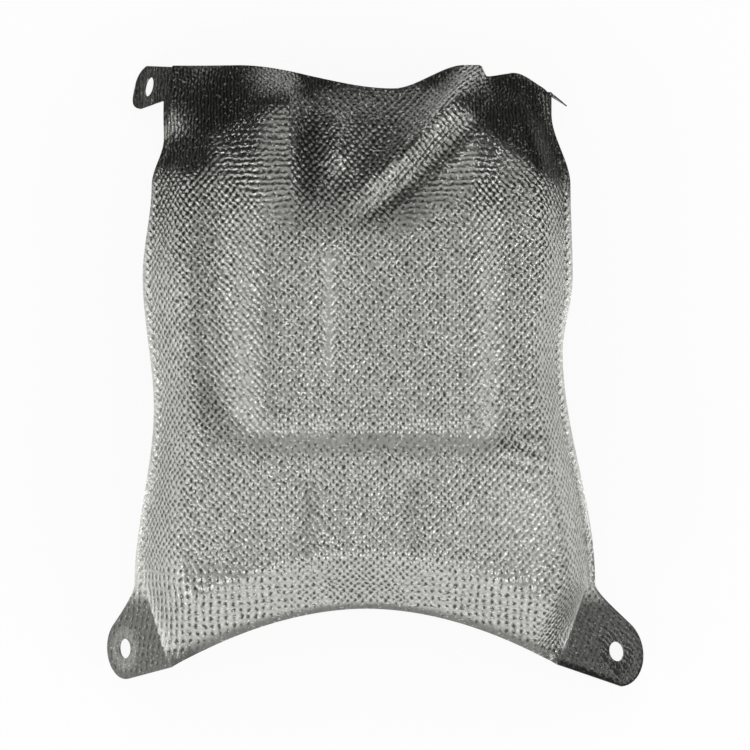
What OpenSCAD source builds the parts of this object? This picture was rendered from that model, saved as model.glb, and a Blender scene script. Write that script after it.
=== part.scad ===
// Exhaust heat shield: one sheet of embossed aluminium, drawn into a deep vault
// with a narrow flange and four mounting ears that are folds of the same sheet.
// It lies on its ears, vault up. X runs across, Y towards the bent-back top, Z up.
// The sheet is a grid of points on its middle surface, thickened to both sides,
// then the seats are coined and the bolt holes are cut.

/* [Sheet] */
// Thickness across the embossing, crest to crest
emboss_t = 1.2; // [1:0.1:2.4]
// Thickness where the bolt seats are coined flat
seat_t = 0.9; // [0.6:0.1:1.1]
// Width of the smooth flange along the sides
flange_w = 3.4; // [2:0.2:8]
// Fall of the side flange across its width
flange_drop = 1.6; // [0.4:0.2:4]

/* [Outline] */
// Left edge of the skirt, from the centre line
skirt_l = 108; // [98:1:116]
// Right edge of the skirt, from the centre line
skirt_r = 99; // [90:1:106]
// Left edge of the waist, from the centre line
waist_l = 99; // [90:1:106]
// Right edge of the waist, from the centre line
waist_r = 84; // [76:1:92]
// Left edge of the hip, from the centre line
hip_l = 104; // [94:1:112]
// Right edge of the hip, from the centre line
hip_r = 88.5; // [80:0.5:96]
// Left edge of the shoulder, from the centre line
shoulder_l = 100; // [92:1:110]
// Right edge of the shoulder, from the centre line
shoulder_r = 87.5; // [78:0.5:95]
// Left edge of the neck, from the centre line
neck_l = 94.5; // [88:0.5:100]
// Right edge of the neck, from the centre line
neck_r = 79; // [72:0.5:86]
// Distance of the lower corners below the centre line
corner_low = 130.5; // [122:0.5:140]
// Rise of the arched lower edge
arch_rise = 26; // [10:1:40]
// Distance of the top edge above the centre line
top_high = 138.5; // [130:0.5:148]
// Dip of the top edge over the recess
top_dip = 10.5; // [2:0.5:16]

/* [Depth] */
// Height of the crown above the surface it lies on
crown_z = 65; // [60:1:80]
// Height of the side folds
side_z = 31; // [24:1:36]
// Height of the top edge
top_z = 31; // [26:1:36]
// Height of the lower edge at its middle
arch_z = 43; // [38:1:52]
// Run of the left wall from its fold to the ledge
wall_run_l = 20; // [14:1:26]
// Run of the right wall from its fold to the ledge
wall_run_r = 13.5; // [10:0.5:20]
// Run of the sloping wall above the lower edge
skirt_run = 27; // [16:1:34]
// Run of the steep band below the top edge
hood_run = 19; // [8:1:22]

/* [Pressed panel] */
// Drop from the crown to the left ledge
ledge_l = 9; // [2:0.5:14]
// Drop from the crown to the right ledge
ledge_r = 7; // [2:0.5:14]
// Height on the panel of the crosswise groove, from the centre line
groove_y = -27; // [-40:1:-10]
// Depth of the crosswise groove
groove_d = 1.6; // [0:0.2:4]
// Depth of the two upright dents below the groove
pad_d = 1.3; // [0:0.1:3]
// Height on the panel where the roof starts to fall towards the top edge
roof_y = 80; // [74:1:94]
// Fall of the roof over the lobes, for each millimetre of run
roof_slope = 0.2; // [0.1:0.05:0.4]
// Further fall of the recess between the lobes
recess_slope = 0.27; // [0:0.03:0.45]
// Further fall of the slanting corners beside the lobes
corner_slope = 0.38; // [0.1:0.02:0.5]
// Height of the upright ridge in the recess
ridge_h = 4; // [0:0.5:7]
// Height of the slanting bead right of the recess
bead_h = 3.5; // [0:0.5:8]
// Depth of the valley between the bead and the right lobe
valley_d = 4; // [0:0.5:8]

/* [Ears] */
// Diameter of the bolt holes
hole_d = 9; // [6:0.5:10]
// Diameter of the coined seats on the lower ears
seat_d = 21; // [14:0.5:22]
// Diameter of the coined seats on the upper ears
small_seat_d = 15; // [12:0.5:16]
// Reach of the lower left ear past its hole
reach_ll = 14; // [12:0.5:17]
// Reach of the lower right ear past its hole
reach_lr = 16; // [12:0.5:18]
// Reach of the upper left ear past its hole
reach_ul = 15; // [11:0.5:17]
// Reach of the upper right ear past its hole
reach_ur = 10.5; // [9.5:0.5:13]
// Half width of the upper ears
ear_half_w = 10.5; // [9.5:0.5:12]

/* [Hidden] */
sheet_colour = [0.62, 0.62, 0.60];
cut = 6;                     // how far the cutters stand clear of the sheet
smooth = 40;                 // facets round the holes and seats

// Grid: columns of each side strip and of the vault, rows of the ears and of the rest
strip_n = 4;
vault_n = 39;
ear_rows = 13;
side_rows = 36;
top_rows = 6;
tab_rows = 6;
cols = vault_n + 2 * strip_n;
rows = ear_rows + side_rows + top_rows;
tab_cols = strip_n + 5;
end_rows = 7;                // rows along the rounded end of a lower ear
wall_crowding = 0.051;       // how much closer the vault's columns stand near its walls

// Heights along the sides at which the outline is set
skirt_y = -94;
waist_y_l = -15;
waist_y_r = 10;
hip_y = 44;
shoulder_y = 85;
neck_y_l = 106;
neck_y_r = 117;

// Ears: place of the hole, direction that the plate leans to, its lean, its half width
// and its reach past the hole
ear_ll = [[-skirt_l - 4.7, -corner_low + 7], 180, 52, 13.8, reach_ll];
ear_lr = [[skirt_r + 10, -corner_low + 5.6], 16, 40, 16, reach_lr];
ear_ul = [[-neck_l - 7.2, top_high - 8.5], 168, 62, ear_half_w, reach_ul];
ear_ur = [[neck_r - 1.2, top_high - 11.2], 57, 86, ear_half_w, reach_ur];
// Angles round an ear's end between which it is free sheet, and how square its upper corner is
free_ll = [97, -48];
free_lr = [-100, 42];
free_ul = [84, -62];
squared = 0.5;

function mix(a, b, t) = a + (b - a) * t;
function clamp(t) = min(1, max(0, t));
// Smooth step from 0 at a to 1 at b
function step(x, a, b) = let (t = clamp((x - a) / (b - a))) t * t * (3 - 2 * t);
// Bell of width w round c
function bell(x, c, w) = exp(-pow((x - c) / w, 2));
// Flat line that turns into a slope of one past zero, over a radius r
function bend(x, r) = x > 8 * r ? x : r * ln(1 + exp(x / r));
// Value at y on a smooth line through rows of [y, value]
function along(rows_list, y, i = 0) =
    y <= rows_list[0][0] ? rows_list[0][1]
    : i + 1 >= len(rows_list) ? rows_list[i][1]
    : y <= rows_list[i + 1][0]
        ? mix(rows_list[i][1], rows_list[i + 1][1],
              step(y, rows_list[i][0], rows_list[i + 1][0]))
    : along(rows_list, y, i + 1);

// Plate of an ear: unit vectors down its slope and level along it
function ear_down(e) = [cos(e[1]) * cos(e[2]), sin(e[1]) * cos(e[2]), -sin(e[2])];
function ear_level(e) = [-sin(e[1]), cos(e[1]), 0];
// Centre of the hole on the middle surface, so that the tip just touches z = 0
function ear_centre(e) =
    [e[0][0], e[0][1], e[4] * sin(e[2]) + emboss_t / 2 * cos(e[2])];
// Point on the rounded end, 0 degrees at its tip; a corner under 1 squares the positive side
function ear_end(e, a, corner = 1) =
    let (k = a > 0 ? corner : 1, across = sign(sin(a)) * pow(abs(sin(a)), k))
    ear_centre(e) + e[4] * pow(cos(a), cos(a) > 0 ? k : 1) * ear_down(e)
    + e[3] * across * ear_level(e);
// Height of the plate above a point
function ear_z(e, p) =
    ear_centre(e)[2]
    - tan(e[2]) * ((p[0] - e[0][0]) * cos(e[1]) + (p[1] - e[0][1]) * sin(e[1]));

// Outer edge of the sides, as [y, x]
edge_l = [[skirt_y, -skirt_l], [waist_y_l, -waist_l], [hip_y, -hip_l],
          [shoulder_y, -shoulder_l], [neck_y_l, -neck_l]];
edge_r = [[skirt_y, skirt_r], [waist_y_r, waist_r], [hip_y, hip_r],
          [shoulder_y, shoulder_r], [neck_y_r, neck_r]];
ear_foot_l = top_high - 15.5;     // where the upper left ear starts
edge_top_r = top_high - 12;       // where the right edge ends

// Side rows: share of the way from the skirt to the upper ear
function side_share(j) = (j - ear_rows) / side_rows;

// Curve from point a to point b that leaves and arrives along da and db
function ease(a, da, b, db, t) =
    a * (2 * pow(t, 3) - 3 * t * t + 1) + da * (pow(t, 3) - 2 * t * t + t)
    + b * (3 * t * t - 2 * pow(t, 3)) + db * (pow(t, 3) - t * t);
function flat(p) = [p[0], p[1]];

// Outline of the left side from the lower ear to the upper one, row by row
function outer_l(j) =
    j <= end_rows ? flat(ear_end(ear_ll, mix(free_ll[0], free_ll[1], j / end_rows)))
    : j <= ear_rows ? ease(flat(ear_end(ear_ll, free_ll[1])), [10, 14], [-skirt_l, skirt_y], [0, 12],
                           (j - end_rows) / (ear_rows - end_rows))
    : j <= ear_rows + side_rows
        ? let (y = mix(skirt_y, ear_foot_l, side_share(j))) [along(edge_l, y), y]
    : flat(ear_end(ear_ul, mix(free_ul[0], free_ul[1], (j - ear_rows - side_rows - 1) / (top_rows - 1)),
                   squared));
function outer_r(j) =
    j <= end_rows ? flat(ear_end(ear_lr, mix(free_lr[0], free_lr[1], j / end_rows)))
    : j <= ear_rows ? ease(flat(ear_end(ear_lr, free_lr[1])), [-12, 12], [skirt_r, skirt_y], [-1, 12],
                           (j - end_rows) / (ear_rows - end_rows))
    : let (y = mix(skirt_y, edge_top_r, (j - ear_rows) / (side_rows + top_rows)))
        [along(edge_r, y), y];

// Fold between the vault and the side strip, row by row
fold_foot_l = [-skirt_l + 17, -corner_low];
fold_foot_r = [skirt_r - 17.5, -corner_low + 1];
fold_head_l = [-neck_l + 4.2, top_high - 0.6];
function fold_l(j) =
    j <= ear_rows
        ? mix(fold_foot_l, [-skirt_l + flange_w + 1, skirt_y], j / ear_rows)
    : j <= ear_rows + side_rows ? outer_l(j) + [flange_w + 1 - clamp(side_share(j) * 8), 0]
    : mix(outer_l(ear_rows + side_rows) + [flange_w, 0], fold_head_l,
          (j - ear_rows - side_rows) / top_rows);
function fold_r(j) =
    j <= ear_rows
        ? mix(fold_foot_r, [skirt_r - flange_w, skirt_y], j / ear_rows)
    : outer_r(j) - [flange_w, 0];

// Lower and upper edge of the vault, for a share s across it
function arch_y(s) =
    mix(fold_foot_l[1], fold_foot_r[1], s)
    + arch_rise * (1 - pow(abs(2 * s - 1), 1.9));
top_edge = [[-62, top_high], [8, top_high - top_dip], [40, top_high],
            [47, top_high], [50, top_high - 5], [62, top_high - 3.5],
            [neck_r + 2, edge_top_r]];
function top_y(x) = along(top_edge, x);

// Share across the vault of a column, with closer columns near the walls
function share(k) = let (t = k / vault_n) t - wall_crowding * sin(360 * t);

// Place of a point of the vault in plan
function plan(s, j) =
    let (a = fold_l(j), b = fold_r(j), v = j / rows,
         x = mix(a[0], b[0], s),
         low = mix(fold_l(0)[1], fold_r(0)[1], s),
         high = mix(fold_l(rows)[1], fold_r(rows)[1], s),
         y = mix(a[1], b[1], s))
    [x, y + (arch_y(s) - low) * pow(1 - v, 1.6) + (top_y(x) - high) * pow(v, 3)];

// Height of the side folds, blended into the ears at both ends
side_line = [[skirt_y + 10, side_z - 6], [waist_y_l - 20, side_z], [shoulder_y, side_z],
             [neck_y_r, top_z]];
function plain_edge_z(y) = along(side_line, y);
function ear_share_low(j) = 1 - step(j, 9, ear_rows + 5);
function ear_share_high(j) = step(j, rows - top_rows - 3, rows - top_rows);
function strip_z_l(p, j, out) =
    let (plain = plain_edge_z(p[1]) - flange_drop * out)
    j < rows / 2 ? mix(plain, ear_z(ear_ll, p), ear_share_low(j))
    : mix(plain, ear_z(ear_ul, p), ear_share_high(j));
function strip_z_r(p, j, out) =
    let (plain = plain_edge_z(p[1]) - flange_drop * out)
    mix(plain, ear_z(ear_lr, p), ear_share_low(j));
top_bow = 4;                 // rise of the top edge between its ends
arch_bow = arch_z - (strip_z_l(fold_l(0), 0, 0) + strip_z_r(fold_r(0), 0, 0)) / 2;
function edge_z_low(s) =
    mix(strip_z_l(fold_l(0), 0, 0), strip_z_r(fold_r(0), 0, 0), s) + arch_bow * sin(180 * s);
function edge_z_high(s) =
    mix(strip_z_l(fold_l(rows), rows, 0), strip_z_r(fold_r(rows), rows, 0), s)
    + top_bow * sin(180 * s);

// Line of the slanting bead in plan, straighter towards the top edge, and the way across it
bead_head = [43.5, 141];
bead_curve = 0.155;
bead_lean = 0.75;
function past_bead(x, y) =
    bead_lean * (x - bead_head[0] + bead_curve * pow(max(0, bead_head[1] - y), 1.4));

// Way into the slanting corners beside the lobes, each from a line through its point
corner_l = [-82, 86];
corner_r = [54, 103];
corner_bend = 3;
function corners(x, y) =
    bend([-0.67, 0.74] * ([x, y] - corner_l), corner_bend)
    + bend([0.6, 0.8] * ([x, y] - corner_r), corner_bend);

// Crown of the panel: a plateau between two ledges above the groove, a plain crown below it;
// the roof falls gently over two lobes, more in the recess between them, most at the corners
plateau_l = [-70, -47];
plateau_r = [42, 58];
mid_x = (skirt_r - skirt_l) / 2;
half_span = 95;
plain_bow = 8;               // fall of the plain crown at half the span
ledge_dent = 1.5;            // shallow dent along the left ledge
blend_y = [-6, 12, 36];      // from the groove: where plain crown and ledges meet, longer at the left
recess_y = roof_y - 4;
recess_l = [-39, -30];
recess_r = [-12, 2];         // measured across the bead
groove_l = [-84, -44];
groove_r = [60, 80];
pads = [-29, 17];
pad_y = [-82, -72, -48, -40];
function crown(x, y) =
    let (blend_to = mix(blend_y[2], blend_y[1], step(x, -84, -60)),
         upper = step(y, groove_y + blend_y[0], groove_y + blend_to),
         ledges = ledge_l * (1 - step(x, plateau_l[0], plateau_l[1]))
                  + ledge_r * step(x, plateau_r[0], plateau_r[1]) + ledge_dent * bell(x, -77, 6),
         plain = plain_bow * pow((x - mid_x) / half_span, 2),
         recess = step(x, recess_l[0], recess_l[1])
                  * (1 - step(past_bead(x, y), recess_r[0], recess_r[1])),
         roof = roof_slope * bend(y - roof_y, 5) + recess_slope * bend(y - recess_y, 4) * recess,
         groove = groove_d * bell(y, groove_y, 6) * step(x, groove_l[0], groove_l[1])
                  * (1 - step(x, groove_r[0], groove_r[1])),
         pad = pad_d * (bell(x, pads[0], 3.5) + bell(x, pads[1], 3.5))
               * step(y, pad_y[0], pad_y[1]) * (1 - step(y, pad_y[2], pad_y[3])))
    crown_z - mix(plain, ledges, upper) - roof - corner_slope * corners(x, y) - groove - pad;

// Forms of the roof: upright ridge, slanting bead, and the valley between bead and right lobe
ridge_x = -17;
ridge_y = [86, 100, 110, 122];
bead_y = [80, 98];
valley_y = [64, 84, 104, 122];
valley_off = 11;             // from the bead's line to the bottom of the valley
function roof_forms(x, y) =
    ridge_h * bell(x, ridge_x, 4) * step(y, ridge_y[0], ridge_y[1])
        * (1 - step(y, ridge_y[2], ridge_y[3]))
    + bead_h * bell(past_bead(x, y), 0, 7) * step(y, bead_y[0], bead_y[1])
    - valley_d * bell(past_bead(x, y), valley_off, 5) * step(y, valley_y[0], valley_y[1])
        * (1 - step(y, valley_y[2], valley_y[3]));

// Rise of each wall from 0 at its edge to 1 at the panel
function rise(d, run) = sin(90 * clamp(d / run));

function vault_z(s, j) =
    let (p = plan(s, j), a = plan(0, j), b = plan(1, j), v = j / rows,
         za = strip_z_l(a, j, 0), zb = strip_z_r(b, j, 0),
         corners = mix(mix(strip_z_l(fold_l(0), 0, 0), strip_z_r(fold_r(0), 0, 0), s),
                       mix(strip_z_l(fold_l(rows), rows, 0),
                           strip_z_r(fold_r(rows), rows, 0), s), v),
         edge = mix(za, zb, s) + mix(edge_z_low(s), edge_z_high(s), v) - corners,
         low = plan(s, 0)[1], high = plan(s, rows)[1],
         walls = rise(p[0] - a[0], wall_run_l) * rise(b[0] - p[0], wall_run_r)
                 * rise(p[1] - low, skirt_run) * rise(high - p[1], hood_run))
    edge + (crown(p[0], p[1]) + roof_forms(p[0], p[1]) - edge) * walls;

// Middle surface, column by column and row by row
function mid_point(i, j) =
    i < strip_n
        ? let (t = 1 - i / strip_n, p = mix(fold_l(j), outer_l(j), t))
          [p[0], p[1], strip_z_l(p, j, t)]
    : i > cols - strip_n
        ? let (t = 1 - (cols - i) / strip_n, p = mix(fold_r(j), outer_r(j), t))
          [p[0], p[1], strip_z_r(p, j, t)]
    : let (s = share(i - strip_n), p = plan(s, j)) [p[0], p[1], vault_z(s, j)];

// Upper right ear: rows that hang from the last columns of the top edge
tab_first = cols - tab_cols;
function tab_point(i, j) =
    let (t = (j - rows) / tab_rows, k = (i - tab_first) / tab_cols,
         root = mid_point(i, rows), a = mix(-1, 1, k),
         c = ear_centre(ear_ur), drop = (root[2] - c[2]) / sin(ear_ur[2]),
         reach = drop + ear_ur[4] * sqrt(1 - 0.97 * a * a),
         ideal = c - ear_down(ear_ur) * (drop - reach * t)
                 - ear_level(ear_ur) * a * ear_ur[3])
    mix(root, ideal, step(t, 0, 0.3));

skin = [for (j = [0 : rows + tab_rows]) [for (i = [0 : cols])
        j <= rows ? mid_point(i, j) : i >= tab_first ? tab_point(i, j) : [0, 0, 0]]];

// Cells of the grid that hold sheet: all rows up to the top edge, then the ear's columns
function live(i, j) =
    i >= 0 && i < cols && j >= 0 && (j < rows || (j < rows + tab_rows && i >= tab_first));

// Outward direction of the sheet at a point
function used(i, j) = live(i, j) || live(i - 1, j) || live(i, j - 1) || live(i - 1, j - 1);
function out_at(i, j) =
    let (e = used(i + 1, j) && i < cols ? skin[j][i + 1] : skin[j][i],
         w = used(i - 1, j) && i > 0 ? skin[j][i - 1] : skin[j][i],
         n = used(i, j + 1) && j < rows + tab_rows ? skin[j + 1][i] : skin[j][i],
         s = j > 0 ? skin[j - 1][i] : skin[j][i],
         c = cross(e - w, n - s))
    c / norm(c);

module sheet() {
    wide = cols + 1;
    high = rows + tab_rows + 1;
    offsets = [for (j = [0 : high - 1]) [for (i = [0 : cols])
               used(i, j) ? out_at(i, j) * emboss_t / 2 : [0, 0, 0]]];
    points = [for (side = [1, -1]) for (j = [0 : high - 1]) for (i = [0 : cols])
              skin[j][i] + side * offsets[j][i]];
    under = wide * high;
    cells = [for (j = [0 : high - 2]) for (i = [0 : cols - 1]) if (live(i, j)) [i, j]];
    faces = [for (c = cells)
        let (a = c[1] * wide + c[0], b = a + 1, d = a + wide, e = d + 1,
             south = !live(c[0], c[1] - 1), north = !live(c[0], c[1] + 1),
             west = !live(c[0] - 1, c[1]), east = !live(c[0] + 1, c[1]))
        each concat(
            [[a, e, b], [a, d, e], [a + under, b + under, e + under],
             [a + under, e + under, d + under]],
            south ? [[a, b, b + under], [a, b + under, a + under]] : [],
            north ? [[e, d, d + under], [e, d + under, e + under]] : [],
            west ? [[d, a, a + under], [d, a + under, d + under]] : [],
            east ? [[b, e, e + under], [b, e + under, b + under]] : [])];
    polyhedron(points, faces);
}

// Stand the cutters on an ear, their axis along its hole
module on_ear(e) {
    translate(ear_centre(e)) rotate([0, 0, e[1]]) rotate([0, e[2], 0]) children();
}

// Hole through an ear and the two shallow cuts that leave its seat coined flat
module seat_cut(e, d) {
    on_ear(e) {
        translate([0, 0, -cut / 2]) cylinder(d = hole_d, h = cut, $fn = smooth);
        translate([0, 0, seat_t / 2]) cylinder(d = d, h = cut / 2, $fn = smooth);
        translate([0, 0, -seat_t / 2 - cut / 2]) cylinder(d = d, h = cut / 2, $fn = smooth);
    }
}

module heat_shield() {
    color(sheet_colour) difference() {
        sheet();
        seat_cut(ear_ll, seat_d);
        seat_cut(ear_lr, seat_d);
        seat_cut(ear_ul, small_seat_d);
        seat_cut(ear_ur, small_seat_d);
    }
}

heat_shield();
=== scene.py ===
import math
import bpy
import numpy as np
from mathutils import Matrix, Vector


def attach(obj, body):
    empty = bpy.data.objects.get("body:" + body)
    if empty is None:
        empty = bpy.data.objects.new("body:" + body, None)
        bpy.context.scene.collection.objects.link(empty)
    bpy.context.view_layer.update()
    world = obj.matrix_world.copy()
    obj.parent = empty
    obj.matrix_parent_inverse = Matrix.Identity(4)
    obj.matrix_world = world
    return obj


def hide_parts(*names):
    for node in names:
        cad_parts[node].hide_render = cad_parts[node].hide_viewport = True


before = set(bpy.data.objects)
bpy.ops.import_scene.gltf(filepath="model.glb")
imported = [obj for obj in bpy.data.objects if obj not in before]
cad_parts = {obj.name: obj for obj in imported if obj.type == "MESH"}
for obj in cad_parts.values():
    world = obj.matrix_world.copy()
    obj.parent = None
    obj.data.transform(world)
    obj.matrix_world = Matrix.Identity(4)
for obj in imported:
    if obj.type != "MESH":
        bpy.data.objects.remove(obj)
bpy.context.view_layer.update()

print("stage: packed shield loaded")

# The pressed sheet. Lengths are millimetres, angles degrees; the forms are those of the solid.
shield = {
    "sheetT": 0.6,            # bare sheet
    "seatT": 0.9,             # sheet at the coined seats
    "embossT": 1.2,           # crest to crest
    "flangeW": 3.4, "flangeDrop": 1.6,
    "skirt": (108, 99), "waist": (99, 84), "hip": (104, 88.5),
    "shoulder": (100, 87.5), "neck": (94.5, 79),
    "cornerLow": 130.5, "archRise": 26, "topHigh": 138.5, "topDip": 10.5,
    "crownZ": 65, "sideZ": 31, "topZ": 31, "archZ": 43,
    "wallRun": (20, 13.5), "skirtRun": 27, "hoodRun": 19,
    "ledge": (9, 7), "grooveY": -27, "grooveD": 1.6, "padD": 1.3,
    "lobeY": 80, "lobeSlope": 0.2,                   # roof over the lobes: where it starts, its fall
    "recessY": 76, "recessSlope": 0.27,              # more fall in the recess between them
    "cornerL": (-82, 86), "cornerR": (54, 103), "cornerSlope": 0.38,   # and at each corner
    "ridgeH": 4, "beadH": 3.5, "valleyD": 4,
    "holeD": 9, "seatD": 21, "smallSeatD": 15, "seatEdge": 0.5,
    # ears: place beside the outline's corner, angle in plan, lean, half width, hole to end
    "earLowL": (-4.7, 7, 180, 52, 13.8, 14), "earLowR": (10, 5.6, 16, 40, 16, 16),
    "earTopL": (-7.2, -8.5, 168, 62, 10.5, 15), "earTopR": (-1.2, -11.2, 57, 86, 10.5, 10.5),
    "earTurns": ((97, -48), (-100, 42), (84, -62)),  # angles round the ends of the first three ears
    "squared": 0.5,                                  # how square the upper left ear's corner is
    "filletL": ((10, 14), (0, 12)), "filletR": ((-12, 12), (-1, 12)),     # ways out of the lower ears
    "earFoot": (15.5, 12),                           # where the upper ears start, below the top edge
    "foldFoot": ((17, 0), (-17.5, 1)), "foldHead": (4.2, -0.6),      # folds' ends beside the corners
    "flangeMore": (1, 8),                            # left flange: extra width at its foot, how fast it ends
    "hoodSwell": 4,                                  # rise of the top edge's middle over its ends
    "skirtY": -94, "waistY": (-15, 10), "hipY": 44, "shoulderY": 85, "neckY": (106, 117),
}

# The grid of the solid, and how finely the dressed sheet divides it
grid = {
    "stripN": 4, "vaultN": 39, "earRows": 13, "sideRows": 36, "topRows": 6, "tabRows": 6,
    "endRows": 7,             # rows round the end of a lower ear
    "crowding": 0.051,        # how much closer the columns stand near the walls
    "archPower": 1.9,         # bow of the arch
    "follow": (1.6, 3),       # how fast the rows leave the arch and reach the top edge
    "lowBlend": (9, 18), "topBlend": 3,     # rows over which the ears' planes run out
    "tabRound": 0.97, "tabBlend": 0.3,      # roundness of the hung ear's end, share that leaves the edge
    "pathShare": 0.5,         # how far the embossing follows the sheet and not the plan
    "tabVault": 5,            # columns of the vault that carry the upper right ear
    "fineStrip": 28, "fineVault": 160, "fineEar": 36, "fineSide": 120, "fineTop": 24, "fineTab": 18,
    "coarse": 7,              # fine columns of a strip that are one column beside the panel
    "coarseEnd": 3,           # rows before the upper left ear where that stops
    "nearHole": 3,            # mm from a hole's plane within which the sheet is punched
    "sharpFrom": 60,          # degrees between faces that stay a sharp edge
}
cols = grid["vaultN"] + 2 * grid["stripN"]
rows = grid["earRows"] + grid["sideRows"] + grid["topRows"]
tabCols = grid["stripN"] + grid["tabVault"]


def mix(a, b, t):
    # straight line from a at 0 to b at 1
    return a + (b - a) * t


def step(x, a, b):
    # cubic step 3t^2 - 2t^3 from 0 at a to 1 at b
    t = np.clip((x - a) / (b - a), 0, 1)
    return t * t * (3 - 2 * t)


def bell(x, c, w):
    # exp(-((x - c) / w)^2)
    return np.exp(-((x - c) / w) ** 2)


def band(x, rise, fall):
    # cubic step up between the first pair, down between the second
    return step(x, *rise) * (1 - step(x, *fall))


def fade(x, form):
    # band of two pairs, or bell of a centre and a width
    return band(x, *form) if isinstance(form[0], tuple) else bell(x, *form)


def bend(x, r):
    # r ln(1 + e^(x / r)): flat before zero, slope one after it
    return r * np.logaddexp(0, x / r)


def along(line, y):
    # value at y on cubic steps through (y, value) pairs
    line = np.asarray(line, float)
    k = np.clip(np.searchsorted(line[:, 0], y) - 1, 0, len(line) - 2)
    return mix(line[k, 1], line[k + 1, 1], step(y, line[k, 0], line[k + 1, 0]))


def ear(x, y, turn, lean, halfW, reach):
    # plate of an ear: hole centre, unit vectors down, level and out of it
    c, s = math.cos(math.radians(turn)), math.sin(math.radians(turn))
    cl, sl = math.cos(math.radians(lean)), math.sin(math.radians(lean))
    centre = np.array([x, y, reach * sl + shield["embossT"] / 2 * cl])
    return {"centre": centre, "down": np.array([c * cl, s * cl, -sl]),
            "level": np.array([-s, c, 0.0]), "out": np.array([c * sl, s * sl, cl]),
            "halfW": halfW, "reach": reach, "lean": lean}


sh = shield
lowL, lowR = np.array([-sh["skirt"][0], -sh["cornerLow"]]), np.array([sh["skirt"][1], -sh["cornerLow"]])
headL, headR = np.array([-sh["neck"][0], sh["topHigh"]]), np.array([sh["neck"][1], sh["topHigh"]])
earLowL, earLowR, earTopL, earTopR = (
    ear(*(corner + sh[name][:2]), *sh[name][2:])
    for name, corner in (("earLowL", lowL), ("earLowR", lowR), ("earTopL", headL), ("earTopR", headR)))


def earEnd(e, angle, corner=1.0):
    # end of an ear in plan: centre + reach cos(angle)^corner down + halfW sin(angle)^corner level,
    # where a corner under 1 squares the side of positive angles
    a = np.radians(np.asarray(angle, float))[..., None]
    k = np.where(a > 0, corner, 1.0)
    c, s = np.cos(a), np.sin(a)
    c, s = np.sign(c) * np.abs(c) ** k, np.sign(s) * np.abs(s) ** k
    return (e["centre"] + e["reach"] * c * e["down"] + e["halfW"] * s * e["level"])[..., :2]


def earZ(e, p):
    # height of the ear's plane over a point in plan
    rel = p - e["centre"][:2]
    return e["centre"][2] - (rel @ e["out"][:2]) / e["out"][2]


edgeL = [(sh["skirtY"], -sh["skirt"][0]), (sh["waistY"][0], -sh["waist"][0]), (sh["hipY"], -sh["hip"][0]),
         (sh["shoulderY"], -sh["shoulder"][0]), (sh["neckY"][0], -sh["neck"][0])]
edgeR = [(sh["skirtY"], sh["skirt"][1]), (sh["waistY"][1], sh["waist"][1]), (sh["hipY"], sh["hip"][1]),
         (sh["shoulderY"], sh["shoulder"][1]), (sh["neckY"][1], sh["neck"][1])]
earFootL, edgeTopR = sh["topHigh"] - sh["earFoot"][0], sh["topHigh"] - sh["earFoot"][1]


def sideShare(j):
    # share of the side edge at a row: 0 over the lower ear, 1 under the upper one
    return (j - grid["earRows"]) / grid["sideRows"]


def ease(a, da, b, db, t):
    # cubic from a to b that leaves along da and arrives along db
    t = t[..., None]
    a, da, b, db = (np.asarray(v, float) for v in (a, da, b, db))
    return (a * (2 * t**3 - 3 * t**2 + 1) + da * (t**3 - 2 * t**2 + t)
            + b * (3 * t**2 - 2 * t**3) + db * (t**3 - t**2))


def pick(conditions, values):
    # the value of the first condition that holds, else the last one
    return np.select([c[..., None] for c in conditions], values[:-1], values[-1])


def punched(quads, n):
    # border edges of a set of cells, each in the direction of its cell
    edges = np.concatenate([quads[:, [k, (k + 1) % 4]] for k in range(4)])
    edges = edges[edges[:, 0] != edges[:, 1]]
    return edges[~np.isin(edges[:, 0] * n + edges[:, 1], edges[:, 1] * n + edges[:, 0])]


def outerL(j):
    # left outline by row: round end of the lower ear, fillet, side edge, end of the upper ear
    er, sr = grid["earRows"], grid["sideRows"]
    y = mix(sh["skirtY"], earFootL, sideShare(j))
    foot = np.array([along(edgeL, earFootL), earFootL])
    end, turnLow, turnTop = grid["endRows"], sh["earTurns"][0], sh["earTurns"][2]
    leave, arrive = sh["filletL"]
    t = (j - end) / (er - end)
    return pick([j <= end, j <= er, j <= er + sr, j <= er + sr + 1],
                [earEnd(earLowL, mix(*turnLow, j / end)),
                 ease(earEnd(earLowL, turnLow[1]), leave, (-sh["skirt"][0], sh["skirtY"]), arrive, t),
                 np.stack([along(edgeL, y), y], -1),
                 mix(foot, earEnd(earTopL, turnTop[0], sh["squared"]), (j - er - sr)[..., None]),
                 earEnd(earTopL, mix(*turnTop, (j - er - sr - 1) / (grid["topRows"] - 1)), sh["squared"])])


def outerR(j):
    # right outline by row: round end of the lower ear, fillet, side edge up to the hung ear
    er = grid["earRows"]
    y = mix(sh["skirtY"], edgeTopR, (j - er) / (grid["sideRows"] + grid["topRows"]))
    end, turn = grid["endRows"], sh["earTurns"][1]
    leave, arrive = sh["filletR"]
    t = (j - end) / (er - end)
    return pick([j <= end, j <= er],
                [earEnd(earLowR, mix(*turn, j / end)),
                 ease(earEnd(earLowR, turn[1]), leave, (sh["skirt"][1], sh["skirtY"]), arrive, t),
                 np.stack([along(edgeR, y), y], -1)])


foldFootL, foldFootR, foldHeadL = lowL + sh["foldFoot"][0], lowR + sh["foldFoot"][1], headL + sh["foldHead"]


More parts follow.
